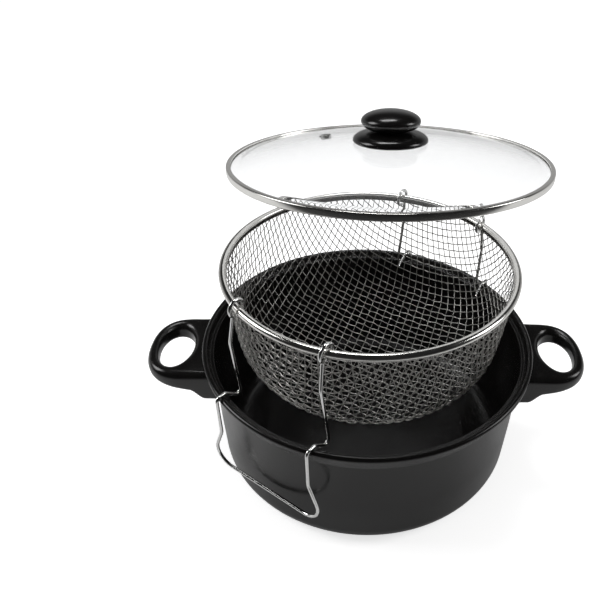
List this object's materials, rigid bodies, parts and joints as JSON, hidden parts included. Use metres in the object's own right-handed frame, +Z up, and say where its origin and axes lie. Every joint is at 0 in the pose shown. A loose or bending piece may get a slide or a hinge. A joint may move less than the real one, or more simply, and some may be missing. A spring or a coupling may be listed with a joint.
{
  "type": "deep fryer pot",
  "caption": "Black steel frying pot with moulded side handles, a hanging wire basket on hooked bails and a domed glass lid with a knob.",
  "frame": {"origin": "centre of the pot's flat base, on the surface it stands on", "axes": "+Z up along the pot's axis, +X towards the right side handle, -Y towards the front bail's side and the picture's camera"},
  "size_m": [0.3378, 0.3039, 0.252],
  "materials": {
    "black_steel": "satin black coated steel",
    "black_bakelite": "black moulded bakelite, semi-gloss",
    "chromed_wire": "bright chromed wire",
    "net_wire": "tinned woven wire",
    "bright_band": "bright rolled steel band",
    "fastener_steel": "plain steel fastener",
    "clear_glass": "clear toughened glass",
    "seal_rubber": "black seal washer"
  },
  "bodies": {
    "pot": {"pot_body": "black_steel", "weld_stud_left": "fastener_steel", "weld_stud_right": "fastener_steel", "side_handle_left": "black_bakelite", "side_handle_right": "black_bakelite", "handle_screw_left": "fastener_steel", "handle_screw_right": "fastener_steel"},
    "basket": {"basket_net": "net_wire", "basket_rim_band": "bright_band", "basket_rim_wire": "fastener_steel"},
    "bail_front": {"bail_front": "chromed_wire"},
    "bail_back": {"bail_back": "chromed_wire"},
    "lid": {"lid_glass": "clear_glass", "lid_rim_band": "bright_band", "vent_grommet": "fastener_steel", "knob_washer": "fastener_steel", "knob_seal": "seal_rubber", "knob_screw": "fastener_steel", "knob_skirt": "black_bakelite", "lid_knob": "black_bakelite"}
  },
  "joints": [
    {"name": "basket_lift", "type": "slide", "parent": "pot", "child": "basket", "axis": [0, 0, 1], "range_m": [0, 0.12]},
    {"name": "bail_front_swing", "type": "hinge", "parent": "basket", "child": "bail_front", "pos_m": [-0.05653, -0.07809, 0.16675], "axis": [-0.81, 0.5864, 0], "range_deg": [0, 90]},
    {"name": "bail_back_swing", "type": "hinge", "parent": "basket", "child": "bail_back", "pos_m": [0.05653, 0.07809, 0.16675], "axis": [0.81, -0.5864, 0], "range_deg": [0, 90]},
    {"name": "lid_lift", "type": "slide", "parent": "basket", "child": "lid", "axis": [0.2078, 0.9337, 0.2916], "range_m": [-0.06, 0.06]}
  ],
  "couplings": [
    {"joint": "bail_front_swing", "follows": "basket_lift", "rad_per_m": 13},
    {"joint": "bail_back_swing", "follows": "basket_lift", "rad_per_m": 13}
  ]
}
